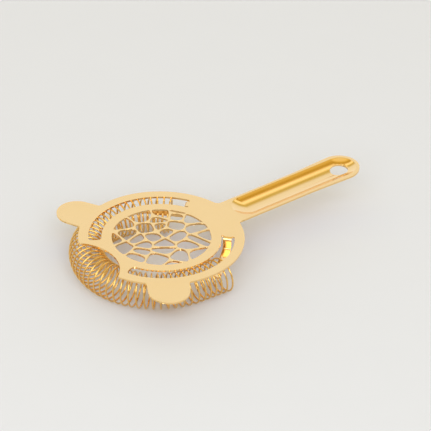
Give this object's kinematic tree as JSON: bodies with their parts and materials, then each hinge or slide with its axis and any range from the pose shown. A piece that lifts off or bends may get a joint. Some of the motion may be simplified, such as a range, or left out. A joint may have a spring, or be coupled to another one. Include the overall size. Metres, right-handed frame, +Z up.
{
  "type": "cocktail strainer",
  "caption": "Gold-plated cocktail strainer: round pierced plate with two ears, a long troughed handle with a hang hole, and a coil spring round the underside of the plate.",
  "frame": {"origin": "on the resting surface, under the middle of the strainer's overall box", "axes": "+X along the handle, away from the round plate; +Y to the left ear's side; +Z up, out of the plate's top face"},
  "size_m": [0.1748, 0.1094, 0.0249],
  "materials": {
    "gold_sheet": "gold-coloured plating on satin steel sheet",
    "gold_wire": "gold-coloured plating on bright spring wire"
  },
  "bodies": {
    "strainer": {"strainer_plate": "gold_sheet", "lattice_screen": "gold_sheet", "handle": "gold_sheet", "ear_left": "gold_sheet", "ear_right": "gold_sheet", "tongue_left": "gold_sheet", "tongue_right": "gold_sheet", "spring_span_01": "gold_wire", "spring_span_02": "gold_wire", "spring_span_03": "gold_wire", "spring_span_04": "gold_wire", "spring_span_08": "gold_wire", "spring_span_09": "gold_wire", "spring_span_10": "gold_wire"},
    "spring_front": {"spring_span_05": "gold_wire", "spring_span_06": "gold_wire", "spring_span_07": "gold_wire"}
  },
  "joints": [
    {"name": "front_press", "type": "slide", "parent": "strainer", "child": "spring_front", "axis": [1, 0, 0], "range_m": [0, 0.0045], "stiffness_N_per_m": 400, "deforming": ["spring_span_03", "spring_span_04", "spring_span_08", "spring_span_09"]}
  ]
}
